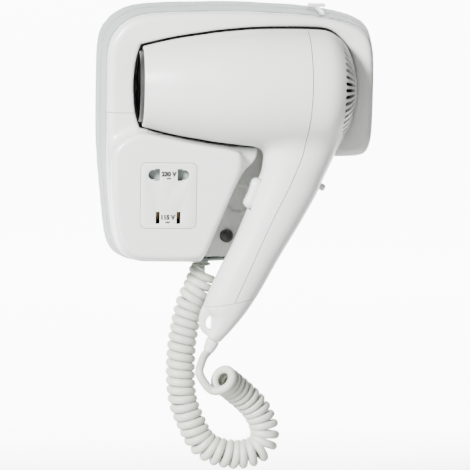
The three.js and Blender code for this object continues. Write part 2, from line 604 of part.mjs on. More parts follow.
function motorMount() {
  const vanes = [0, 1, 2, 3, 4].map((i) => finX([18, 34], [15.6, 32], 1.6, 2 * Math.PI * i / 5));
  return union(ringX([17, 36], 33, 31.4), ringX([17, 36], 16.4, 14.8), ...vanes);
}

function fan() {
  const blades = Array.from({ length: 9 }, (_, i) => {
    const geometry = new THREE.BoxGeometry(9.5, 1.2, 22);
    geometry.rotateZ(0.6).translate(47.5, 0, 19.5).rotateX(2 * Math.PI * i / 9);
    return solid(geometry.translate(0, -DRYER_F, BARREL_Z));
  });
  return cut(union(pegX([42, 53], 9.5), ...blades), pegX([40, 60], 1.85, 12));
}

function intakeFilter() {
  const openings = Array.from({ length: 10 }, (_, i) => finX([50, 65], [7, 26.5], 3, 2 * Math.PI * i / 10));
  return cut(pegX([56.8, 58], 29.2, 32), ...openings);
}

add('outlet_ring', 'black_plastic', ringX([-60.4, -49], 21.8, 20));
add('outlet_grille', 'black_plastic', outletGrille());
add('heat_shield', 'mica', ringX([-47, 15], 20.6, 19.8));
add('heater_card', 'mica', union(...[0, 1].map((i) => finX([-44, 12], [-16.8, 16.8], 1, i * Math.PI / 2))));
add('heater_coil', 'steel', heaterCoil());
add('thermal_cutout', 'black_plastic', finX([-10, 2], [6, 12], 6, Math.PI / 4));
add('thermal_fuse', 'steel', finX([-12, 2], [7, 10], 3, 5 * Math.PI / 4));
add('motor_mount', 'black_plastic', motorMount());
add('motor', 'steel', pegX([16.5, 38], 14.4));
add('motor_shaft', 'steel', pegX([38.4, 54], 1.5, 12));
add('fan', 'black_plastic', fan());
add('intake_filter', 'black_plastic', intakeFilter());

// ---------------------------------------------------------------- cord

add('cord_tail_holder', 'cord_rubber', tube(LEAD_PATH, CORD_RADIUS, 8, 10));
add('cord_curl', 'cord_rubber', tube(COIL_PATH, COIL_RADIUS, 36, 10));
add('cord_tail_handle', 'cord_rubber', tube(TAIL_PATH, CORD_RADIUS, 8, 10));

export default group;
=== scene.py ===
"""Wall-mounted hair dryer in its holder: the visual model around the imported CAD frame.

Shapes are worked out in millimetres as signed distances, negative inside, and become meshes in metres.
X runs along the barrel, Z is up, and f is the distance from the wall, so Y = -f.
"""

import json
import math

import bmesh
import bpy
import numpy as np
from mathutils import Matrix, Vector


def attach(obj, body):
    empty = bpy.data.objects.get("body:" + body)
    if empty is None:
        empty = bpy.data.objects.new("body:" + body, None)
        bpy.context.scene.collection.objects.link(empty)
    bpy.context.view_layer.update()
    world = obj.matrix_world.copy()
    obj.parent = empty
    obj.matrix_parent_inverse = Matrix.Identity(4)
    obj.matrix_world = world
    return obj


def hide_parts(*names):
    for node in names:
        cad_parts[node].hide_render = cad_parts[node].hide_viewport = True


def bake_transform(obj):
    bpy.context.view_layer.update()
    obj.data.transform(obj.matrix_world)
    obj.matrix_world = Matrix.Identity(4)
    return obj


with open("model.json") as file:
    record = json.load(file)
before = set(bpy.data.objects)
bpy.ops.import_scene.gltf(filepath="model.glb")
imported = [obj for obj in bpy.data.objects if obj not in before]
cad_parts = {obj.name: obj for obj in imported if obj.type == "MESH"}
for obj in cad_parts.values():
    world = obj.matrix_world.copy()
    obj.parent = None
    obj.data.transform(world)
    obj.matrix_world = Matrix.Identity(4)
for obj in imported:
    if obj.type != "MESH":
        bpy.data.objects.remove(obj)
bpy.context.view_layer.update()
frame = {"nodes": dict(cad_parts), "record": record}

# ---------------------------------------------------------------- driving dimensions
# Lengths are in millimetres and tilts in radians unless a comment says otherwise. Outlines are (X, Z) points,
# and the points of the cord are (X, f, Z).

MM = 0.001
GAP = 0.3
WALL = 2.2

# Holder: depths from the wall, then outlines. The housing's front is smaller than its back by TAPER.
HOUSING_DEPTH = 38
FRAME_FRONT = 45
BOSS_FRONT = 58
POCKET_FLOOR = 7.5
CHANNEL_FLOOR = 22
SEAT = HOUSING_DEPTH + GAP
PARTING_F, PARTING_HALF, PARTING_DEPTH = 19, 0.45, 0.5
TAPER = 0.94
CENTRE = (2.6, -3)
CLEARANCE = 1.5
FLOOR_END = -79.8
HOUSING_OUTLINE = [
    (-85.4, 51), (-85.4, -9), (-81.7, -46.6), (-78.9, -71), (-73.7, -79.9), (-65.3, -84.4), (-59, -85.7),
    (0, -85.8), (8, -81), (46, -21), (52, -16), (62, -15), (84, -14), (88.5, -10), (91, 0), (91, 48),
    (89, 62), (84, 69), (75, 73.5), (62, 76.5), (43, 79), (5, 80.4), (-20, 80), (-51.8, 78.7), (-65.6, 76.6),
    (-75.5, 71.4), (-82.9, 62.6),
]
CHANNEL_LEFT = [
    (10.8, -2), (13.4, -8.6), (12.9, -14), (10.3, -18.2), (6.4, -21.7), (4.4, -24.8), (-0.3, -33.1),
    (-8, -51.7), (-15.2, -68.4), (-20, -79.8),
]
HANDLE_RIGHT = [(24, -86.7), (33, -70), (45, -49.7), (54.9, -29.2), (58.1, -20.7), (62.2, -12)]
POCKET_END = [
    (-61.2, 8), (-62.2, 12.3), (-63.1, 19.2), (-63.5, 27.7), (-63.3, 34.1), (-62.6, 41.8), (-61, 49.1),
]
COVER_OUTLINE = [
    (-79.4, 12), (-60, 12), (-54, 0), (0, -6), *CHANNEL_LEFT[1:], (-58, -79.8), (-66, -78), (-71.6, -73),
    (-74.6, -64), (-77, -45), (-79.8, -10),
]
BOSS_OUTLINE = [
    (-76.4, -40), (-73.7, -61.3), (-70, -70.6), (-61.9, -76.1), (-52.8, -77.3), (-26.4, -77.1),
    (-19.2, -75.4), (-16.1, -68.8), (-9, -51.7), (-1.4, -33.1), (3.1, -22), (3.6, -14.6), (1.2, -9.6),
    (-22.8, -6), (-41.5, -2.2), (-58.8, 1.4), (-66, -1), (-73.2, -5.6), (-76.8, -12.4),
]

# Holder: soft edges, the dish beside the pocket, the channel's round recess, holes and grid boxes.
FRAME_EDGE, BOSS_EDGE, STEP_SOFT = 5, 4.5, 7
DISH, DISH_REACH, DISH_START, DISH_WIDTH = 3.2, 9, 15, 35
RECESS_AT, RECESS_RADIUS, RECESS_DEPTH = (5, -43), 8, 1.2
TROUGH_CLEARANCE = 0.6
CORD_HOLE, CORD_HOLE_TOP = 4.9, -74
WALL_SCREWS = [(-70, 62), (-52, -72), (80, 50), (76, -6)]
WALL_SCREW_HOLE = 2.4
LATCH_SLOT, LATCH_SLOT_F = [(51.2, 70), (54.9, 70), (54.9, 85), (51.2, 85)], (20, 29)
SELECTOR_NOTCH, SELECTOR_NOTCH_F = [(48, -43), (60, -43), (60, -26), (48, -26)], (43, 70)
PLUNGER_AT, PLUNGER_HOLE = (-2.5, -66.5), 4.3
FRAME_BOX, FRAME_STEP = ((-82, -60, -83), (88, -3, 77)), 1.05
HOUSING_BOX, HOUSING_STEP = ((-88, -40, -88), (93, 2, 83)), 1.15
PLUNGER_PROFILE = [
    (16, 5.3), (17.6, 5.3), (17.7, 3.9), (25.6, 3.9), (26.8, 3.55), (27.7, 2.9), (28.3, 1.8), (28.5, 0.8),
    (28.5, 0),
]
GROMMET_PROFILE = [
    (-86.6, 3), (-86.6, 5.6), (-86.1, 6.2), (-85.9, 6.2), (-85.4, 5.7), (-85.3, 4.7), (-80.7, 4.7),
    (-80.6, 6.2), (-78, 6.2), (-78, 3),
]

# Socket panel.
PANEL_X = (-59, -25)
PANEL_Z = (-57, -17)
PANEL_BACK = 54.6
PANEL_CORNER = 3.2
PINS_HIGH = (-51.5, -32.5)
PIN_Z = -24.3
KEYHOLE_RADIUS, KEYHOLE_HALF, KEYHOLE_INNER, KEYHOLE_STEP = 3.1, 3.7, 4.2, 0.6
PINS_LOW = (-48.4, -35.7)
PINS_LOW_Z = (-54.4, -46.8)
PIN_LOW_HALF = 1.25
MARK_RELIEF, MARK_WEIGHT = 0.03, 0.3
MARKS = [
    ("mark_high_volts", "230 V", -42, -25, 3.7),
    ("mark_high_kind", "~", -42, -27.5, 3.9),
    ("mark_low_volts", "115 V", -42.4, -51.5, 3.7),
    ("mark_low_kind", "~", -42.4, -54.4, 3.9),
]

# Dryer: barrel as (X, radius), then the handle's edges as (Z, X) and half its thickness as (Z, mm).
BARREL_Z = 28.6
DRYER_F = 46
BARREL = [
    (-58, 24.4), (-47, 27.2), (-36, 29.6), (-22, 31.9), (-11, 33.6), (10, 35.7), (30, 36.3), (44, 36.3),
    (55, 35.4), (62.7, 30.8), (67.8, 24.2), (71.9, 12), (73.2, 0),
]
HANDLE_FRONT_EDGE = [
    (12, 17.5), (-4, 17.8), (-21, 16.4), (-28.2, 14), (-48.2, 7), (-68.8, -1.3), (-84.5, -9.1), (-100, -16),
    (-106.6, -17.6), (-110, -16), (-113.2, -13.6), (-118, -13.5), (-122, -13.9), (-127, -15.6), (-133, -18.4),
]
HANDLE_REAR_EDGE = [
    (12, 66), (-4, 63), (-13.4, 60.2), (-27.8, 53.9), (-35.3, 50.9), (-54.2, 40.8), (-74.9, 28.8),
    (-95.1, 18), (-107.1, 10.7), (-115.4, 4.7), (-123, -1.5), (-130, -7.6), (-133, -10),
]
HANDLE_HALF = [
    (12, 17.5), (-12.5, 18.2), (-28, 17), (-49, 16), (-69.5, 15), (-86, 14.3), (-103, 13.5), (-110, 12.6),
    (-118, 10), (-124, 7.4), (-128.4, 4.6), (-133, 3.2),
]
HANDLE_POWER = 2.35
HANDLE_TOP = 10
CROTCH = 8
SHELL_BOX, SHELL_STEP = ((-61, -86, -134), (77, -6, 68)), 1.0
SEAM = [
    (41.2, 80), (41.5, 50), (41.7, 35), (41.5, 22), (41, 8), (40.4, 0), (39.3, -8.6), (37.9, -13.6),
    (31.7, -29.8), (23.2, -47.9), (15.6, -65.3), (8.6, -82.2), (0.5, -101), (-3.5, -112),
]
SEAM_GAP = 0.45
CAP_SEAM = [(-40, -110.7), (-18.7, -106.7), (15.5, -100.3), (40, -95.7)]
EYE_TAB = [
    (-18.4, -106), (-21, -112.9), (-21.2, -119.2), (-19, -123.6), (-15.2, -126.2), (-11, -124), (-11, -106),
]
EYE_TAB_HALF, EYE_TAB_TOP = 3.4, -106
EYE_HOLE = [
    (-13.4, -112.8), (-13.3, -122.4), (-14.5, -122), (-16.2, -120.6), (-16.9, -118.4), (-16.8, -115.9),
    (-15.8, -114), (-14.4, -112.9),
]
RIGHT_THROUGH = (-20, 120)

# Dome slots: count, inner and outer end, half width at the outer and the inner end, and the cutter's X range.
SLOT_COUNT = 45
SLOT_INNER, SLOT_OUTER = 17.2, 31.0
SLOT_WIDE, SLOT_NARROW = 1.25, 0.75
SLOT_X = (57, 80)

# Controls, in local (depth into the handle, up its edge, outward): low corner, high corner, edge radius.
TRIGGER_AT, TRIGGER_TILT = (11.2, -36.3), math.radians(20.4)
TRIGGER_OPENING = ((-8, 7), (-10, 10), 7.3)
TRIGGER_HEAD = ((-4.5, -9.7, -7), (6, 9.7, 7), 4.2)
TRIGGER_FLANGE = ((5, -11.5, -8.2), (6.5, 11.5, 8.2), 0.5)
TRIGGER_DIP_AT, TRIGGER_DIP_RADIUS = -24, 20.3
TRIGGER_BOX, TRIGGER_STEP = ((3, -60, -50), (21, -36, -23)), 0.45
SELECTOR_AT, SELECTOR_TILT = (52.7, -31.6), math.radians(25.8)
SELECTOR_OPENING = ((-8, 8), (-8.4, 2.5), 2.7)
KNOB_NUB = ((-5, -2.1, -2.3), (3.3, 2.1, 2.3), 1.5)
KNOB_PLATE = ((-5.8, -8.5, -4.6), (-4.4, 8.5, 4.6), 0.4)
KNOB_RIB, KNOB_RIB_PITCH = 0.18, 1.3
KNOB_BOX, KNOB_STEP = ((40, -53, -45), (61, -39, -18)), 0.3

# Outlet collar: its ends along X, its inner and outer radius and its soft edge.
COLLAR = (-60.4, -49, 20, 21.8, 0.6)

# Cord: where it leaves the holder and the dryer, the middle of the coil, and its last length.
CORD_RADIUS = 2.65
CORD_EXIT = (-17.3, 12, -86.6)
CORD_LEAVES = (-11.8, -128.6)
CORD_TILT = math.radians(24)
NECK_RADIUS, NECK_DEPTH = 3.3, 8
RELIEF_PROFILE = [
    (-10, 2.75), (-10, 2.9), (-8.7, 2.9), (-8.6, 3.9), (-7, 3.9), (-6.9, 2.9), (0.1, 2.9), (0.15, 4.1),
    (1.2, 4.25), (3, 4.1), (6.8, 3.45), (7.5, 3.2), (7.8, 2.95), (7.8, 2.75),
]
COIL_RADIUS = 9.4
TURN_PITCH = 5.4
STEPS_PER_TURN = 20
LAST_TURN_SPREAD, LAST_TURN_SHARE = 4.6, 0.45
LEAD_PATH = [CORD_EXIT, (-17.3, 12.4, -89.4), (-17.6, 16, -91.3)]
COIL_PATH = [
    (-17.1, 29.5, -87.4), (-20.3, 29.5, -97), (-25.3, 30, -108.2), (-28.9, 31.5, -124.1), (-30.6, 33, -136.9),
    (-31.1, 34.5, -152.8), (-29.5, 36, -168.7), (-24.7, 37, -181.5), (-18.2, 38, -194.2), (-10.6, 39, -200.1),
    (-2.4, 40, -202.5), (7.1, 40, -203.2), (15.3, 41, -201), (20.9, 41, -196.5), (22.3, 41, -187.4),
    (18.5, 41, -177.1), (12.5, 42.5, -169), (4.3, 46.5, -161.1), (-2.7, 52.5, -154.6), (-8, 59, -149.9),
]
TAIL_PATH = [(-20.9, 58.4, -148), (-19.6, 53.4, -141.8), (-17.4, 48.6, -138.2)]

# Camera: its distance in metres, its angles in degrees.
TARGET = Vector((0, -50, -62)) * MM
DISTANCE = 1.25
AZIMUTH, ELEVATION, ROLL = -6.0, 8.0, 1.2
LENS = 155.2

# Stage: a floor that curves up into a backdrop and glows from GLOW_FROM to GLOW_TO metres behind the wall
# plane, and lights as (name, place in metres, size in metres, watts).
FLOOR_Z = -330
FLOOR_HALF_WIDTH, FLOOR_FRONT, FLOOR_BACK = 1100, -3000, 1500
SWEEP_RADIUS, SWEEP_TURN = 500, 1.5
BACKDROP_TOP = (2030, 1500)
GLOW, GLOW_FROM, GLOW_TO = 9.0, 0.15, 0.6
WORLD_LIGHT = 0.15
LIGHTS = [
    ("key", (-1.3, -1.5, 0.95), 0.5, 235),
    ("fill", (1.2, -1.6, 0.3), 0.9, 3),
]

# ---------------------------------------------------------------- curves and outlines


def smooth_line(points, steps=8):
    """Points along a Catmull-Rom curve through the given points."""
    p = np.array(points, float)
    p = np.vstack([2 * p[0] - p[1], p, 2 * p[-1] - p[-2]])
    t = np.linspace(0, 1, steps, endpoint=False)[:, None]
    found = []
    for a, b, c, d in zip(p[:-3], p[1:-2], p[2:-1], p[3:]):
        found.append(0.5 * (2 * b + (c - a) * t + (2 * a - 5 * b + 4 * c - d) * t ** 2
                            + (3 * b - a - 3 * c + d) * t ** 3))
    return np.vstack(found + [p[-2:-1]])


def rounded(outline, times=3, share=0.22):
    """Closed outline with its corners cut again and again, which rounds them."""
    p = np.array(outline, float)
    for _ in range(times):
        after = np.roll(p, -1, axis=0)
        near = p + (after - p) * share
        far = p + (after - p) * (1 - share)
        p = np.stack([near, far], axis=1).reshape(-1, 2)
    return p


class Outline:
    """Signed distance to a closed outline in a plane, kept on a fine grid."""

    def __init__(self, points, margin=30, step=0.5):
        p = np.array(points, float)
        self.low = p.min(axis=0) - margin
        self.step = step
        count = np.ceil((p.max(axis=0) + margin - self.low) / step).astype(int) + 2
        gx, gz = np.meshgrid(*(self.low[k] + step * np.arange(count[k]) for k in range(2)), indexing="ij")
        nearest = np.full(gx.shape, 1e9)
        inside = np.zeros(gx.shape, bool)
        for (ax, az), (bx, bz) in zip(p, np.roll(p, -1, axis=0)):
            dx, dz = bx - ax, bz - az
            t = np.clip(((gx - ax) * dx + (gz - az) * dz) / (dx * dx + dz * dz + 1e-12), 0, 1)
            nearest = np.minimum(nearest, (gx - ax - t * dx) ** 2 + (gz - az - t * dz) ** 2)
            if az != bz:
                crosses = (az > gz) != (bz > gz)
                inside ^= crosses & (gx < ax + (gz - az) * dx / dz)
        self.value = np.sqrt(nearest) * np.where(inside, -1, 1)

    def __call__(self, x, z):
        u = np.clip((x - self.low[0]) / self.step, 0, self.value.shape[0] - 1.001)
        v = np.clip((z - self.low[1]) / self.step, 0, self.value.shape[1] - 1.001)
        i, j = u.astype(int), v.astype(int)
        s, t = u - i, v - j
        g = self.value
        return ((g[i, j] * (1 - t) + g[i, j + 1] * t) * (1 - s)
                + (g[i + 1, j] * (1 - t) + g[i + 1, j + 1] * t) * s)


def meet(a, b, k=0.0):
    """Union of two distances, rounded over k."""
    if k <= 0:
        return np.minimum(a, b)
    h = np.maximum(k - np.abs(a - b), 0) / k
    return np.minimum(a, b) - h * h * k / 4


def both(a, b, k=0.0):
    """Intersection of two distances, its edge rounded over k."""
    return -meet(-a, -b, k)


# ---------------------------------------------------------------- meshes


def surface_net(field, low, high, step):
    """Vertices and quads of the surface where field(x, y, z) is zero."""
    axes = [np.arange(low[k], high[k] + step, step) for k in range(3)]
    shape = tuple(len(a) for a in axes)
    values = np.empty(shape)
    gy, gz = np.meshgrid(axes[1], axes[2], indexing="ij")
    for i, x in enumerate(axes[0]):
        values[i] = field(np.full(gy.shape, x), gy, gz)
    inside = values < 0
    ends = (slice(0, -1), slice(1, None))
    count = sum(inside[a, b, c].astype(np.int8) for a in ends for b in ends for c in ends)
    active = (count > 0) & (count < 8)
    index = np.full(active.shape, -1)
    index[active] = np.arange(active.sum())
    cell = np.array(np.nonzero(active))
    total = np.zeros(cell.shape)
    hits = np.zeros(cell.shape[1])
    for axis in range(3):
        for a in (0, 1):
            for b in (0, 1):
                offset = np.zeros((3, 1), int)
                offset[(axis + 1) % 3] = a
                offset[(axis + 2) % 3] = b
                start = cell + offset
                end = start.copy()
                end[axis] += 1
                v0, v1 = values[tuple(start)], values[tuple(end)]
                crossing = (v0 < 0) != (v1 < 0)
                t = np.where(crossing, v0 / np.where(crossing, v0 - v1, 1), 0)
                point = offset + np.zeros(cell.shape)
                point[axis] = t
                total += np.where(crossing, point, 0)
                hits += crossing
    place = (cell + total / hits) * step + np.array(low, float)[:, None]
    quads = []
    for axis in range(3):
        order = (axis, (axis + 1) % 3, (axis + 2) % 3)
        solid, number = inside.transpose(order), index.transpose(order)
        start, end = solid[:-1, 1:-1, 1:-1], solid[1:, 1:-1, 1:-1]
        for rising in (True, False):
            i, j, k = np.nonzero((start & ~end) if rising else (~start & end))
            around = [number[i, j, k], number[i, j + 1, k], number[i, j + 1, k + 1], number[i, j, k + 1]]
            quads.append(np.stack(around if rising else around[::-1], axis=1))
    return settle(field, place.T, step), np.vstack(quads)


def settle(field, points, step):
    """Points moved onto the field's zero surface."""
    h = 0.05
    for _ in range(4):
        x, y, z = points.T
        value = field(x, y, z)
        slope = np.stack([field(x + h, y, z) - field(x - h, y, z), field(x, y + h, z) - field(x, y - h, z),
                          field(x, y, z + h) - field(x, y, z - h)], axis=1) / (2 * h)
        move = -slope * (value / np.maximum((slope ** 2).sum(axis=1), 0.05))[:, None]
        length = np.linalg.norm(move, axis=1, keepdims=True)
        points = points + move * np.minimum(1, 0.4 * step / np.maximum(length, 1e-9))
    return points


def make(name, vertices, faces, smooth=True):
    """Mesh object from vertices in millimetres, in the row frame."""
    data = bpy.data.meshes.new(name)
    data.from_pydata((np.asarray(vertices) * MM).tolist(), [], [list(map(int, f)) for f in faces])
    data.validate()
    data.update()
    if smooth:
        data.shade_smooth()
    obj = bpy.data.objects.new(name, data)
    bpy.context.scene.collection.objects.link(obj)
    return obj


def carved(name, field, low, high, step):
    """Mesh object of a signed distance of (X, Y, Z) in millimetres."""
    return make(name, *surface_net(field, low, high, step))


def prism(outline, f0, f1, name="cutter"):
    """Block of an outline of (X, Z) points between two depths, in millimetres."""
    p = np.array(outline, float)
    area = np.sum(p[:, 0] * np.roll(p[:, 1], -1) - np.roll(p[:, 0], -1) * p[:, 1])
    if area < 0:
        p = p[::-1]
    n = len(p)
    front = [(x, -f1, z) for x, z in p]
    back = [(x, -f0, z) for x, z in p]
    faces = [(i, n + i, n + (i + 1) % n, (i + 1) % n) for i in range(n)]
    faces += [tuple(range(n)), tuple(range(2 * n - 1, n - 1, -1))]
    return make(name, front + back, faces, smooth=False)


def boolean(obj, tool, operation, solver="MANIFOLD"):
    """Cuts obj with tool for good and deletes the tool."""
    modifier = obj.modifiers.new("cut", "BOOLEAN")
    modifier.operation = operation
    modifier.solver = solver
    modifier.object = tool
    bpy.context.view_layer.update()
    graph = bpy.context.evaluated_depsgraph_get()
    made = bpy.data.meshes.new_from_object(obj.evaluated_get(graph))
    obj.modifiers.clear()
    old = obj.data
    obj.data = made
    made.name = obj.name
    bpy.data.meshes.remove(old)
    bpy.data.objects.remove(tool)
    return obj


def copy_of(obj, name):
    other = bpy.data.objects.new(name, obj.data.copy())
    bpy.context.scene.collection.objects.link(other)
    return other


def crease(obj, degrees=38):
    """Smooth shading that stays sharp at edges steeper than this."""
    obj.data.shade_smooth()
    obj.data.set_sharp_from_angle(angle=math.radians(degrees))
    return obj


def bevelled(obj, width, segments=3, degrees=35):
    """Rounds the sharp edges of a piece for good."""
    modifier = obj.modifiers.new("edges", "BEVEL")
    modifier.width = width * MM
    modifier.segments = segments
    modifier.limit_method = "ANGLE"
    modifier.angle_limit = math.radians(degrees)
    bpy.context.view_layer.update()
    graph = bpy.context.evaluated_depsgraph_get()
    made = bpy.data.meshes.new_from_object(obj.evaluated_get(graph))
    obj.modifiers.clear()
    obj.data = made
    return crease(obj)


def lathe(name, profile, place, steps=48):
    """Turned solid from (distance, radius) points; place maps local (x, y, along) to the row frame."""
    rings = [(s, max(r, 1e-4)) for s, r in profile]
    vertices, faces = [], []
    for s, r in rings:
        for i in range(steps):
            angle = 2 * math.pi * i / steps
            vertices.append(place(r * math.cos(angle), r * math.sin(angle), s))
    for k in range(len(rings) - 1):
        for i in range(steps):
            j = (i + 1) % steps
            faces.append((k * steps + i, k * steps + j, (k + 1) * steps + j, (k + 1) * steps + i))
    faces.append(tuple(range(steps))[::-1])
    faces.append(tuple((len(rings) - 1) * steps + i for i in range(steps)))
    obj = make(name, vertices, faces)
    tidy = bmesh.new()
    tidy.from_mesh(obj.data)
    bmesh.ops.remove_doubles(tidy, verts=tidy.verts, dist=1e-6)
    bmesh.ops.recalc_face_normals(tidy, faces=tidy.faces)
    tidy.to_mesh(obj.data)
    tidy.free()
    return crease(obj)


# ---------------------------------------------------------------- materials


def material(name, base, other, rough, grain=900, bump=0.05, metal=0.0, coat=0.0, patch=14):
    """Procedural material: two close colours in soft patches, a fine grain in gloss and relief."""
    mat = bpy.data.materials.new(name)
    mat.use_nodes = True
    nodes, links = mat.node_tree.nodes, mat.node_tree.links
    shader = nodes["Principled BSDF"]
    shader.inputs["Metallic"].default_value = metal
    shader.inputs["Coat Weight"].default_value = coat
    place = nodes.new("ShaderNodeTexCoord")
    wide = nodes.new("ShaderNodeTexNoise")
    wide.inputs["Scale"].default_value = patch
    wide.inputs["Detail"].default_value = 3
    fine = nodes.new("ShaderNodeTexNoise")
    fine.inputs["Scale"].default_value = grain
    fine.inputs["Detail"].default_value = 4
    colours = nodes.new("ShaderNodeMix")
    colours.data_type = "RGBA"
    colours.inputs[6].default_value = (*base, 1)
    colours.inputs[7].default_value = (*other, 1)
    gloss = nodes.new("ShaderNodeMapRange")
    gloss.inputs["To Min"].default_value = rough[0]
    gloss.inputs["To Max"].default_value = rough[1]
    relief = nodes.new("ShaderNodeBump")
    relief.inputs["Strength"].default_value = bump
    relief.inputs["Distance"].default_value = 0.0002
    for noise in (wide, fine):
        links.new(place.outputs["Object"], noise.inputs["Vector"])
    links.new(wide.outputs["Fac"], colours.inputs[0])
    links.new(colours.outputs[2], shader.inputs["Base Color"])
    links.new(fine.outputs["Fac"], gloss.inputs["Value"])
    links.new(gloss.outputs["Result"], shader.inputs["Roughness"])
    links.new(fine.outputs["Fac"], relief.inputs["Height"])
    links.new(relief.outputs["Normal"], shader.inputs["Normal"])
    return mat


WHITE = material("white_plastic", (0.62, 0.63, 0.605), (0.58, 0.595, 0.57), (0.27, 0.36), bump=0.03)
# The rear housing is the same white plastic as the front: this grey is painted shade, darkened to how its
# sides fall away from the light.
PAINTED_SHADE_GREY = material("grey_plastic", (0.235, 0.268, 0.26), (0.205, 0.235, 0.228), (0.42, 0.55), bump=0.08)
BLACK = material("black_plastic", (0.018, 0.018, 0.019), (0.03, 0.03, 0.03), (0.35, 0.5), bump=0.08)
CORD = material("cord_rubber", (0.50, 0.52, 0.45), (0.44, 0.46, 0.40), (0.38, 0.5), grain=1400, bump=0.06)
STEEL = material("steel", (0.56, 0.57, 0.58), (0.46, 0.47, 0.48), (0.22, 0.4), grain=2500, metal=1.0)
BRASS = material("brass", (0.34, 0.26, 0.13), (0.27, 0.2, 0.1), (0.22, 0.38), grain=2500, metal=1.0)
COPPER = material(
    "copper", (0.48, 0.2, 0.08), (0.36, 0.14, 0.05), (0.25, 0.45), grain=3000, metal=1.0, bump=0.3)
MICA = material("mica", (0.55, 0.46, 0.30), (0.47, 0.38, 0.24), (0.5, 0.7), grain=700, bump=0.2)
BOARD = material("board", (0.03, 0.13, 0.06), (0.05, 0.17, 0.08), (0.35, 0.5))
CORE = material("dark_core", (0.07, 0.07, 0.075), (0.11, 0.11, 0.115), (0.3, 0.5), metal=0.8, bump=0.2)
BY_SLOT = {
    "white_plastic": WHITE, "grey_plastic": PAINTED_SHADE_GREY, "black_plastic": BLACK, "cord_rubber": CORD, "steel": STEEL,
    "brass": BRASS, "copper": COPPER, "mica": MICA, "board": BOARD, "dark_core": CORE,
}


def piece(obj, body, slot, *nodes):
    """Gives a finished piece its material and its body, and hides the CAD nodes it stands for."""
    obj.data.materials.clear()
    obj.data.materials.append(BY_SLOT[slot])
    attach(obj, body)
    if nodes:
        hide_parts(*nodes)
    return obj


def paint_cad_nodes():
    """Gives every CAD node the material of its slot in the record."""
    slots = {s["node"]: s["material_slot"] for s in frame["record"]["subparts"]}
    for node, obj in frame["nodes"].items():
        obj.data.materials.clear()
        obj.data.materials.append(BY_SLOT[slots[node]])


paint_cad_nodes()

# ---------------------------------------------------------------- camera


def camera():
    """Long lens a little to the left of the object and above it."""
    a, e, roll = (math.radians(v) for v in (AZIMUTH, ELEVATION, ROLL))
    back = Vector((math.sin(a) * math.cos(e), -math.cos(a) * math.cos(e), math.sin(e)))
    right = (-back).cross(Vector((0, 0, 1))).normalized()
    up = right.cross(-back)
    turned_right = right * math.cos(roll) + up * math.sin(roll)
    turned_up = up * math.cos(roll) - right * math.sin(roll)
    data = bpy.data.cameras.new("camera")
    data.lens = LENS
    data.sensor_width = 36
    obj = bpy.data.objects.new("camera", data)
    axes = Matrix((turned_right, turned_up, back)).transposed().to_4x4()
    obj.matrix_world = Matrix.Translation(TARGET + back * DISTANCE) @ axes
    bpy.context.scene.collection.objects.link(obj)
    bpy.context.scene.camera = obj


camera()

# ---------------------------------------------------------------- cord


def carried_frames(path):
    """Two directions across the path at each point, carried along it without twisting."""
    along = np.gradient(path, axis=0)
    along /= np.linalg.norm(along, axis=1, keepdims=True)
    side = np.cross(along[0], [0, 0, 1.0])
    sides = []
    for direction in along:
        side = side - direction * (side @ direction)
        side /= np.linalg.norm(side)
        sides.append(side.copy())
    sides = np.array(sides)
    return sides, np.cross(along, sides)


def evenly(path, count):
    """Path with its points spread evenly along it."""
    reach = np.concatenate([[0], np.cumsum(np.linalg.norm(np.diff(path, axis=0), axis=1))])
    wanted = np.linspace(0, reach[-1], count)
    return np.stack([np.interp(wanted, reach, path[:, k]) for k in range(3)], axis=1), reach[-1]


def cord_line():
    """Middle of the cord from the holder to the dryer: a short lead, the helix and the last length."""
    middle = smooth_line([(x, -f, z) for x, f, z in COIL_PATH], 24)
    _, length = evenly(middle, 100)
    turns = round(length / TURN_PITCH)
    middle, _ = evenly(middle, turns * STEPS_PER_TURN + 1)
    u, v = carried_frames(middle)
    wall_side = np.array([0.0, 1.0, 0.0])
    left_side = np.array([-1.0, 0.0, -0.15])
    start = math.atan2(v[0] @ wall_side, u[0] @ wall_side)
    end = math.atan2(v[-1] @ left_side, u[-1] @ left_side)
    whole = -2 * math.pi * turns
    sweep = whole + (end - start - whole + math.pi) % (2 * math.pi) - math.pi
    t = np.linspace(0, 1, len(middle))
    angle = start + sweep * t
    radius = COIL_RADIUS - CORD_RADIUS
    opening = np.clip((t - 1) * turns / LAST_TURN_SHARE + 1, 0, 1)
    spread = (radius + LAST_TURN_SPREAD * opening ** 2)[:, None]
    helix = middle + spread * (np.cos(angle)[:, None] * u + np.sin(angle)[:, None] * v)
    lead = [(x, -f, z) for x, f, z in LEAD_PATH]
    leaves = np.array([CORD_LEAVES[0], -DRYER_F, CORD_LEAVES[1]])
    away = np.array([-math.sin(CORD_TILT), 0, -math.cos(CORD_TILT)])
    tail = [*((x, -f, z) for x, f, z in TAIL_PATH), leaves + away * 8.6, leaves + away * 6]
    bend = smooth_line([helix[-11], helix[-7], helix[-3], *tail], 6)[6:]
    return np.vstack([lead, helix[4:-7], bend])


def tube(name, line, radius, sides=12):
    """Round tube round a line of points in millimetres, closed at both ends."""
    u, v = carried_frames(line)
    angles = 2 * math.pi * np.arange(sides) / sides
    ring = np.cos(angles)[None, :, None] * u[:, None, :] + np.sin(angles)[None, :, None] * v[:, None, :]
    vertices = (line[:, None, :] + radius * ring).reshape(-1, 3)
    starts = [(k * sides, i, (i + 1) % sides) for k in range(len(line) - 1) for i in range(sides)]
    faces = [(base + i, base + j, base + sides + j, base + sides + i) for base, i, j in starts]
    faces.append(tuple(range(sides))[::-1])
    faces.append(tuple(range((len(line) - 1) * sides, len(line) * sides)))
    return make(name, vertices, faces)


def curly_cord():
    line = cord_line()
    obj = tube("curly_cord", line, CORD_RADIUS)
    obj.data.materials.append(CORD)
    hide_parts("cord_tail_holder", "cord_curl", "cord_tail_handle")
    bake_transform(obj)


# ---------------------------------------------------------------- local places on the handle


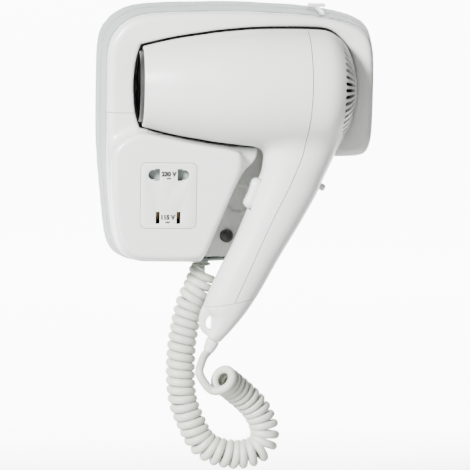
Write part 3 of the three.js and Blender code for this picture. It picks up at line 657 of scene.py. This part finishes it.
def local(x, y, z, at, angle):
    """Local (depth into the handle, up its edge, outward) of points, for an edge turned by angle."""
    c, s = math.cos(angle), math.sin(angle)
    dx, dz = x - at[0], z - at[1]
    return dx * c - dz * s, dx * s + dz * c, y + DRYER_F


def placed(a, b, out, at, angle):
    """The row-frame point of local (depth, up, outward) numbers."""
    c, s = math.cos(angle), math.sin(angle)
    return at[0] + a * c + b * s, out - DRYER_F, at[1] - a * s + b * c


def round_box(p, low, high, radius):
    """Distance to a box whose edges are rounded; p, low and high hold three numbers each."""
    outside, deepest = 0, -1e9
    for value, lowest, highest in zip(p, low, high):
        q = np.abs(value - (lowest + highest) / 2) - (highest - lowest) / 2 + radius
        outside = outside + np.maximum(q, 0) ** 2
        deepest = np.maximum(deepest, q)
    return np.sqrt(outside) + np.minimum(deepest, 0) - radius


def outward(obj):
    """Makes every face of a closed mesh look outwards."""
    tidy = bmesh.new()
    tidy.from_mesh(obj.data)
    bmesh.ops.recalc_face_normals(tidy, faces=tidy.faces)
    tidy.to_mesh(obj.data)
    tidy.free()
    return obj


def block(at, angle, a, b, half):
    """Cutter on the handle's edge: a is the depth range, b the range up the edge, half its half width."""
    corners = [placed(p, q, r, at, angle) for r in (-half, half) for q in b for p in a]
    faces = [(0, 2, 3, 1), (4, 5, 7, 6), (0, 1, 5, 4), (2, 6, 7, 3), (0, 4, 6, 2), (1, 3, 7, 5)]
    return outward(make("cutter", corners, faces, smooth=False))


def peg(at, radius, f0, f1, sides=40):
    """Round cutter square to the wall."""
    angles = 2 * math.pi * np.arange(sides) / sides
    return prism([(at[0] + radius * math.cos(a), at[1] + radius * math.sin(a)) for a in angles], f0, f1)


# ---------------------------------------------------------------- dryer: shells and end cap


def by_height(points):
    """Smooth value as a function of Z, from (Z, value) points that run downwards."""
    line = smooth_line(points, 10)[::-1]
    return lambda z: np.interp(z, line[:, 0], line[:, 1])


barrel_line = smooth_line(BARREL, 6)
mirrored = (barrel_line * (1, -1))[-2::-1]
barrel_side = Outline(np.vstack([barrel_line, mirrored]), step=0.4)
barrel_open = Outline(np.vstack([[(-90, 24.4)], barrel_line, mirrored, [(-90, -24.4)]]), step=0.4)
eye_tab = Outline(rounded(EYE_TAB, 2), step=0.25)
front_edge = by_height(HANDLE_FRONT_EDGE)
rear_edge = by_height(HANDLE_REAR_EDGE)
half_thickness = by_height(HANDLE_HALF)


def along_cord(x, z):
    """Distance past the point where the cord leaves the end cap, along the cord."""
    return (x - CORD_LEAVES[0]) * -math.sin(CORD_TILT) - (z - CORD_LEAVES[1]) * math.cos(CORD_TILT)


def along_cord_side(x, z):
    """Distance beside the cord's middle line at the end cap, in the side view."""
    return (x - CORD_LEAVES[0]) * math.cos(CORD_TILT) - (z - CORD_LEAVES[1]) * math.sin(CORD_TILT)


def handle_field(x, y, z):
    """Handle and end cap as a solid, with a rounded-square section."""
    left, right, half = front_edge(z), rear_edge(z), half_thickness(z)
    reach = (right - left) / 2
    across = np.abs(x - (left + right) / 2) / reach
    deep = np.abs(y + DRYER_F) / half
    ratio = (across ** HANDLE_POWER + deep ** HANDLE_POWER + 1e-9) ** (1 / HANDLE_POWER)
    return both((ratio - 1) * np.minimum(reach * 0.93, half), z - HANDLE_TOP, 4)


def shell_field(x, y, z):
    """Hollow dryer, still in one piece."""
    r = np.hypot(y + DRYER_F, z - BARREL_Z)
    handle = handle_field(x, y, z)
    tab = both(both(eye_tab(x, z), np.abs(y + DRYER_F) - EYE_TAB_HALF, 2.4), z - EYE_TAB_TOP)
    outside = meet(meet(barrel_side(x, r), handle, CROTCH), tab, 2.2)
    outside = both(outside, along_cord(x, z), 1.5)
    inside = meet(barrel_open(x, r), handle, CROTCH) + WALL
    inside = both(inside, along_cord(x, z) + WALL)
    neck = both(np.hypot(along_cord_side(x, z), y + DRYER_F) - NECK_RADIUS, -NECK_DEPTH - along_cord(x, z))
    return both(both(outside, -inside, 0.6), -neck)


def slot_cutter():
    """Round-ended cutter for each air intake slot of the dome, as one object."""
    arc = np.linspace(0, math.pi, 7)
    outer, inner = SLOT_OUTER - SLOT_WIDE, SLOT_INNER + SLOT_NARROW
    shape = [(SLOT_WIDE * math.cos(a), outer + SLOT_WIDE * math.sin(a)) for a in arc]
    shape += [(-SLOT_NARROW * math.cos(a), inner - SLOT_NARROW * math.sin(a)) for a in arc]
    n = len(shape)
    vertices, faces = [], []
    for k in range(SLOT_COUNT):
        c, s = math.cos(2 * math.pi * k / SLOT_COUNT), math.sin(2 * math.pi * k / SLOT_COUNT)
        base = len(vertices)
        for x in SLOT_X:
            vertices += [(x, -DRYER_F + y * c - r * s, BARREL_Z + y * s + r * c) for y, r in shape]
        faces += [(base + i, base + (i + 1) % n, base + n + (i + 1) % n, base + n + i) for i in range(n)]
        faces += [tuple(base + i for i in range(n))[::-1], tuple(base + n + i for i in range(n))]
    return outward(make("slots", vertices, faces, smooth=False))


def dryer_shells():
    """Cuts the hollow dryer into its front shell, rear shell and end cap."""
    front = carved("dryer_front_shell", shell_field, *SHELL_BOX, SHELL_STEP)
    cap = copy_of(front, "dryer_end_cap")
    boolean(cap, prism(rounded(EYE_HOLE, 2, 0.2), *RIGHT_THROUGH), "DIFFERENCE")
    below = [(x, z - GAP) for x, z in CAP_SEAM] + [(60, -150), (-60, -150)]
    boolean(cap, prism(below, *RIGHT_THROUGH), "INTERSECT")
    above = CAP_SEAM + [(90, -90), (90, 90), (-90, 90), (-90, -115)]
    boolean(front, prism(above, *RIGHT_THROUGH), "INTERSECT")
    rear = copy_of(front, "dryer_rear_shell")
    seam = smooth_line(SEAM, 4)
    boolean(front, prism([*seam, (-90, -120), (-90, 90)], *RIGHT_THROUGH), "INTERSECT")
    boolean(rear, prism([*(seam + (SEAM_GAP, 0)), (120, -112), (120, 80)], *RIGHT_THROUGH), "INTERSECT")
    boolean(rear, slot_cutter(), "DIFFERENCE")
    boolean(front, block(TRIGGER_AT, TRIGGER_TILT, *TRIGGER_OPENING), "DIFFERENCE")
    boolean(rear, block(SELECTOR_AT, SELECTOR_TILT, *SELECTOR_OPENING), "DIFFERENCE")
    piece(crease(front), "dryer", "white_plastic", "front_shell")
    piece(crease(rear), "dryer", "white_plastic", "rear_shell")
    piece(crease(cap), "dryer", "white_plastic", "end_cap")


dryer_shells()

# ---------------------------------------------------------------- dryer: controls, outlet and strain relief


def trigger_field(x, y, z):
    """Trigger: a soft block with a finger dip, on a flange inside the handle."""
    p = local(x, y, z, TRIGGER_AT, TRIGGER_TILT)
    dip = np.hypot(p[0] - TRIGGER_DIP_AT, p[1] * 0.9) - TRIGGER_DIP_RADIUS
    head = both(round_box(p, *TRIGGER_HEAD), -dip, 1.5)
    return meet(head, round_box(p, *TRIGGER_FLANGE), 0.6)


def knob_field(x, y, z):
    """Selector: a small ribbed nub on a plate inside the handle."""
    p = local(x, y, z, SELECTOR_AT, SELECTOR_TILT)
    ribs = KNOB_RIB * np.cos(p[1] * 2 * math.pi / KNOB_RIB_PITCH) * (p[0] > 1)
    return meet(round_box(p, *KNOB_NUB) + ribs, round_box(p, *KNOB_PLATE), 0.5)


def around_barrel(a, b, s):
    """Lathe place round the barrel's axis."""
    return s, a - DRYER_F, BARREL_Z + b


def down_cord(a, b, s):
    """Lathe place along the cord where it leaves the end cap."""
    x = CORD_LEAVES[0] - s * math.sin(CORD_TILT) + a * math.cos(CORD_TILT)
    return x, b - DRYER_F, CORD_LEAVES[1] - s * math.cos(CORD_TILT) - a * math.sin(CORD_TILT)


def out_from(at):
    """Lathe place square to the wall, outwards from it."""
    return lambda a, b, s: (at[0] + a, -s, at[1] + b)


def ring_profile(start, end, inner, outer, edge):
    """Section of a ring with softened edges, as (distance, radius) points."""
    return [(start, inner + edge), (start, outer - edge), (start + edge, outer), (end - edge, outer),
            (end, outer - edge), (end, inner + edge), (end - edge, inner), (start + edge, inner)]


def turned_ring(name, profile, place, steps=72):
    """Turned solid with a hole along its axis, from a closed (distance, radius) section."""
    n = len(profile)
    vertices = [place(r * math.cos(t), r * math.sin(t), s)
                for t in 2 * math.pi * np.arange(steps) / steps for s, r in profile]
    starts = [(k * n, (k + 1) % steps * n, i, (i + 1) % n) for k in range(steps) for i in range(n)]
    faces = [(here + i, here + j, there + j, there + i) for here, there, i, j in starts]
    return crease(outward(make(name, vertices, faces)))


def dryer_details():
    cap = carved("trigger_cap", trigger_field, *TRIGGER_BOX, TRIGGER_STEP)
    piece(cap, "trigger", "white_plastic", "trigger")
    nub = carved("selector_nub", knob_field, *KNOB_BOX, KNOB_STEP)
    piece(nub, "selector", "white_plastic", "selector_knob")
    ring = turned_ring("outlet_collar", ring_profile(*COLLAR), around_barrel, 96)
    piece(ring, "dryer", "black_plastic", "outlet_ring")
    relief = turned_ring("cord_sleeve", RELIEF_PROFILE, down_cord, 36)
    piece(relief, "dryer", "white_plastic", "strain_relief")
    plunger = lathe("plunger_cap", PLUNGER_PROFILE, out_from(PLUNGER_AT))
    piece(plunger, "plunger", "black_plastic", "plunger")


dryer_details()

# ---------------------------------------------------------------- holder: outlines and fields


def grown(outline, distance):
    """Closed outline moved outwards, its corners mitred."""
    p = np.array(outline, float)
    area = np.sum(p[:, 0] * np.roll(p[:, 1], -1) - np.roll(p[:, 0], -1) * p[:, 1])
    total = 0
    for edge in (p - np.roll(p, 1, axis=0), np.roll(p, -1, axis=0) - p):
        normal = np.stack([edge[:, 1], -edge[:, 0]], axis=1) * np.sign(area)
        total = total + normal / np.linalg.norm(normal, axis=1, keepdims=True)
    return p + total * (2 * distance / np.maximum((total ** 2).sum(axis=1, keepdims=True), 1))


barrel_top = [(x, BARREL_Z + r) for x, r in smooth_line(BARREL, 3)]
barrel_bottom = [(x, 2 * BARREL_Z - z) for x, z in barrel_top[-2::-1]]
pocket_outline = [*grown(barrel_top + barrel_bottom, CLEARANCE), *POCKET_END]
channel_outline = [*CHANNEL_LEFT, (-26, -94), (21, -94), *HANDLE_RIGHT, (62.3, 0)]
housing = Outline(rounded(HOUSING_OUTLINE, 2))
pocket = Outline(pocket_outline)
channel = Outline(rounded(channel_outline, 2, 0.15))
boss = Outline(rounded(BOSS_OUTLINE, 2))


def tapered(x, f, z):
    """Distance to the housing's outline, which shrinks away from the wall."""
    scale = 1 + (TAPER - 1) * f / HOUSING_DEPTH
    return housing(CENTRE[0] + (x - CENTRE[0]) / scale, CENTRE[1] + (z - CENTRE[1]) / scale) * scale


def housing_field(x, y, z):
    """Rear housing, white plastic given a grey of painted shade: open in front, with a parting groove, the
    channel's trough and the cord's hole.
    """
    f = -y
    side = tapered(x, f, z)
    outside = both(both(side, -f, 0.8), f - HOUSING_DEPTH)
    inside = both(side + WALL, WALL - f)
    body = both(outside, -inside)
    groove = both(np.abs(f - PARTING_F) - PARTING_HALF, -side - PARTING_DEPTH)
    body = both(body, -groove, 0.3)
    room = WALL + TROUGH_CLEARANCE
    trough = both(channel(x, z) - room, CHANNEL_FLOOR - room - f)
    cord_hole = both(np.hypot(x - CORD_EXIT[0], f - CORD_EXIT[1]) - CORD_HOLE, z - CORD_HOLE_TOP)
    return both(both(body, -trough), -cord_hole)


def front_outside(x, f, z):
    """White front of the holder as a solid: frame with a dished right wing, and the raised cover."""
    side = tapered(x, np.clip(f, 0, FRAME_FRONT), z) + 0.3
    fade = np.exp(-np.maximum(pocket(x, z), 0) / DISH_REACH)
    dish = DISH * fade * np.clip((x - DISH_START) / DISH_WIDTH, 0, 1)
    face = both(side, f - FRAME_FRONT + dish, FRAME_EDGE)
    raised = both(boss(x, z), f - BOSS_FRONT, BOSS_EDGE)
    return meet(face, raised, STEP_SOFT)


def front_field(x, y, z):
    """White front as a shell, with the dryer's pocket and the handle's channel let into it."""
    f = -y
    outside = front_outside(x, f, z)
    skin = both(both(outside, -(outside + WALL)), SEAT - f)
    pocket_wall = both(both(pocket(x, z) - WALL, POCKET_FLOOR - WALL - f), outside)
    channel_wall = both(both(channel(x, z) - WALL, CHANNEL_FLOOR - WALL - f), outside)
    body = meet(meet(skin, pocket_wall), channel_wall)
    disc = np.hypot(x - RECESS_AT[0], z - RECESS_AT[1]) - RECESS_RADIUS
    recess = both(disc, CHANNEL_FLOOR - RECESS_DEPTH - f, 0.5)
    room = meet(both(pocket(x, z), POCKET_FLOOR - f), both(channel(x, z), CHANNEL_FLOOR - f), 1.5)
    body = both(both(body, -room, 1.8), -recess, 0.5)
    return both(body, FLOOR_END - z)


def holder_front():
    """Cuts the white front into the frame and the socket cover."""
    frame_piece = carved("holder_frame", front_field, *FRAME_BOX, FRAME_STEP)
    cover = copy_of(frame_piece, "socket_cover_shell")
    boolean(cover, prism(COVER_OUTLINE, SEAT, 80), "INTERSECT")
    boolean(frame_piece, prism(grown(COVER_OUTLINE, GAP), HOUSING_DEPTH - GAP, 80), "DIFFERENCE")
    boolean(cover, prism(grown(panel_outline, GAP), 48, 70), "DIFFERENCE")
    boolean(frame_piece, peg(PLUNGER_AT, PLUNGER_HOLE, 10, 30), "DIFFERENCE")
    boolean(frame_piece, prism(SELECTOR_NOTCH, *SELECTOR_NOTCH_F), "DIFFERENCE")
    piece(crease(frame_piece), "holder", "white_plastic", "holder_shell")
    piece(crease(cover), "holder", "white_plastic", "socket_cover")


def rear_housing():
    obj = carved("housing", housing_field, *HOUSING_BOX, HOUSING_STEP)
    for at in WALL_SCREWS:
        boolean(obj, peg(at, WALL_SCREW_HOLE, -2, 5), "DIFFERENCE")
    boolean(obj, prism(LATCH_SLOT, *LATCH_SLOT_F), "DIFFERENCE")
    # The grey_plastic slot gives the housing painted shade, not a colour of its own.
    piece(crease(obj), "holder", "grey_plastic", "rear_housing")


def round_rect(xs, zs, radius, steps=9):
    """Rectangle with round corners."""
    points = []
    for x, z, start in ((xs[1], zs[1], 0), (xs[0], zs[1], 1), (xs[0], zs[0], 2), (xs[1], zs[0], 3)):
        cx = x - math.copysign(radius, x - sum(xs) / 2)
        cz = z - math.copysign(radius, z - sum(zs) / 2)
        turn = np.linspace(0, math.pi / 2, steps) + start * math.pi / 2
        points += [(cx + radius * math.cos(t), cz + radius * math.sin(t)) for t in turn]
    return points


panel_outline = round_rect(PANEL_X, PANEL_Z, PANEL_CORNER)
holder_front()
rear_housing()

# ---------------------------------------------------------------- holder: socket panel and its marks


def keyhole(x, side):
    """Outline of one opening for a round or flat pin; side is -1 for the left one and 1 for the right one."""
    turn = np.linspace(-math.pi * 0.62, math.pi * 0.62, 25)
    curve = [(x + side * KEYHOLE_RADIUS * math.cos(t), PIN_Z + KEYHOLE_RADIUS * math.sin(t)) for t in turn]
    step, inner = x - side * KEYHOLE_STEP, x - side * KEYHOLE_INNER
    top, bottom = PIN_Z + KEYHOLE_HALF, PIN_Z - KEYHOLE_HALF
    return [*curve, (step, top), (inner, top), (inner, bottom), (step, bottom)]


def socket_panel():
    obj = prism(panel_outline, PANEL_BACK, BOSS_FRONT, name="socket_plate")
    for x, side in zip(PINS_HIGH, (-1, 1)):
        boolean(obj, outward(prism(keyhole(x, side), 50, 62)), "DIFFERENCE", solver="EXACT")
    for x in PINS_LOW:
        slot = round_rect((x - PIN_LOW_HALF, x + PIN_LOW_HALF), PINS_LOW_Z, 0.3, 3)
        boolean(obj, prism(slot, 50, 62), "DIFFERENCE", solver="EXACT")
    piece(bevelled(obj, 0.35, 2), "holder", "white_plastic", "socket_panel")


def mark(name, text, x, z, height):
    """Flat printed mark on the panel: a generic voltage in the built-in typeface."""
    curve = bpy.data.curves.new(name, "FONT")
    curve.body = text
    curve.size = height * MM
    curve.align_x = "CENTER"
    curve.extrude = MARK_RELIEF * MM
    curve.offset = MARK_WEIGHT * MM
    letters = bpy.data.objects.new(name, curve)
    bpy.context.scene.collection.objects.link(letters)
    bpy.context.view_layer.update()
    data = bpy.data.meshes.new_from_object(letters)
    bpy.data.objects.remove(letters)
    obj = bpy.data.objects.new(name, data)
    bpy.context.scene.collection.objects.link(obj)
    place = Vector((x, -BOSS_FRONT - MARK_RELIEF, z)) * MM
    data.transform(Matrix.Translation(place) @ Matrix.Rotation(math.pi / 2, 4, "X"))
    piece(obj, "holder", "black_plastic")


def cord_grommet():
    ring = turned_ring("cord_grommet_ring", GROMMET_PROFILE, down_from_exit, 40)
    piece(ring, "holder", "cord_rubber", "cord_grommet")


def down_from_exit(a, b, s):
    """Lathe place upright through the cord's hole in the holder."""
    return CORD_EXIT[0] + a, b - CORD_EXIT[1], s


socket_panel()
for row in MARKS:
    mark(*row)
cord_grommet()

# ---------------------------------------------------------------- cord

curly_cord()

# ---------------------------------------------------------------- stage


def backdrop_material():
    """White studio paper that glows softly behind the object, so that it reads as plain white."""
    mat = material("backdrop", (0.6, 0.6, 0.6), (0.58, 0.58, 0.58), (0.6, 0.7), bump=0)
    nodes, links = mat.node_tree.nodes, mat.node_tree.links
    shader = nodes["Principled BSDF"]
    place = nodes.new("ShaderNodeTexCoord")
    split = nodes.new("ShaderNodeSeparateXYZ")
    glow = nodes.new("ShaderNodeMapRange")
    glow.interpolation_type = "SMOOTHSTEP"
    glow.inputs["From Min"].default_value = GLOW_FROM
    glow.inputs["From Max"].default_value = GLOW_TO
    glow.inputs["To Min"].default_value = 0
    glow.inputs["To Max"].default_value = GLOW
    links.new(place.outputs["Object"], split.inputs["Vector"])
    links.new(split.outputs["Y"], glow.inputs["Value"])
    links.new(glow.outputs["Result"], shader.inputs["Emission Strength"])
    shader.inputs["Emission Color"].default_value = (1, 1, 1, 1)
    return mat


def stage():
    """Floor that sweeps up into a backdrop behind the object, and the lights."""
    turns = np.linspace(0, SWEEP_TURN, 16)
    curve = [(FLOOR_BACK + SWEEP_RADIUS * math.sin(t), SWEEP_RADIUS * (1 - math.cos(t))) for t in turns]
    section = [(FLOOR_FRONT, 0), *curve, BACKDROP_TOP]
    across = (-FLOOR_HALF_WIDTH, FLOOR_HALF_WIDTH)
    vertices = [(x, y, FLOOR_Z + z) for y, z in section for x in across]
    faces = [(2 * k, 2 * k + 1, 2 * k + 3, 2 * k + 2) for k in range(len(section) - 1)]
    sweep = make("floor", vertices, faces)
    sweep.data.materials.append(backdrop_material())
    world = bpy.data.worlds.new("studio")
    world.use_nodes = True
    world.node_tree.nodes["Background"].inputs["Color"].default_value = (1, 1, 1, 1)
    world.node_tree.nodes["Background"].inputs["Strength"].default_value = WORLD_LIGHT
    bpy.context.scene.world = world
    for name, place, size, power in LIGHTS:
        data = bpy.data.lights.new(name, "AREA")
        data.energy = power
        data.size = size
        obj = bpy.data.objects.new(name, data)
        obj.location = place
        obj.rotation_euler = (Vector(place) - TARGET).to_track_quat("Z", "Y").to_euler()
        bpy.context.scene.collection.objects.link(obj)


stage()
